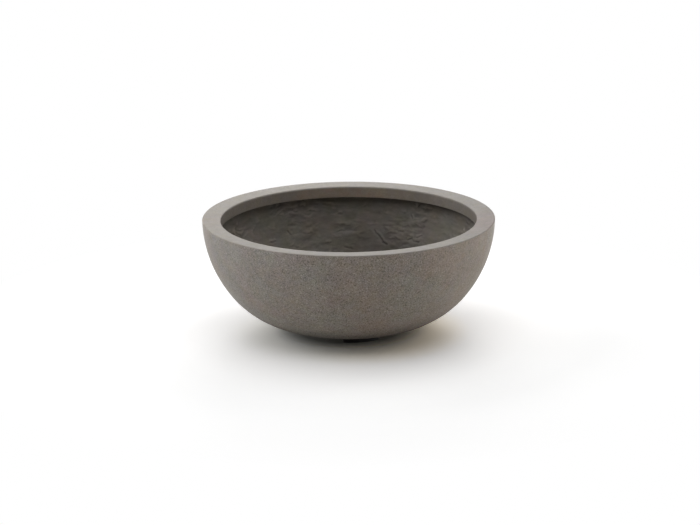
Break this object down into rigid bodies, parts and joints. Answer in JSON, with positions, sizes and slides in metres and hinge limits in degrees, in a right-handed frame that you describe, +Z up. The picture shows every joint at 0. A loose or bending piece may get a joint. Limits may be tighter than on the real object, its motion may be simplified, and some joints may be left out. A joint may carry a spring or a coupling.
{
  "type": "concrete bowl planter",
  "caption": "Low round concrete bowl planter with a sandblasted wall, a flat rim with an inner collar, a centre drain with a lift-out plug, and rubber foot pads.",
  "frame": {"origin": "on the floor, on the bowl's axis, directly below the drain", "axes": "+Z up along the bowl's axis; -Y faces the picture's viewer; +X is to that viewer's right"},
  "size_m": [0.6, 0.5998, 0.2419],
  "materials": {
    "face_concrete": "sandblasted, matte",
    "backing_concrete": "hand-laid, rough",
    "sleeve_plastic": "moulded, matte",
    "plug_rubber": "moulded, satin",
    "pad_rubber": "cut, matte"
  },
  "bodies": {
    "bowl": {"face_shell": "face_concrete", "fibre_backing": "backing_concrete", "drain_sleeve": "sleeve_plastic", "foot_pad_front": "pad_rubber", "foot_pad_rear_right": "pad_rubber", "foot_pad_left": "pad_rubber"},
    "plug": {"drain_plug": "plug_rubber"}
  },
  "joints": [
    {"name": "plug_lift", "type": "slide", "parent": "bowl", "child": "plug", "axis": [0, 0, 1], "range_m": [0, 0.25]}
  ]
}
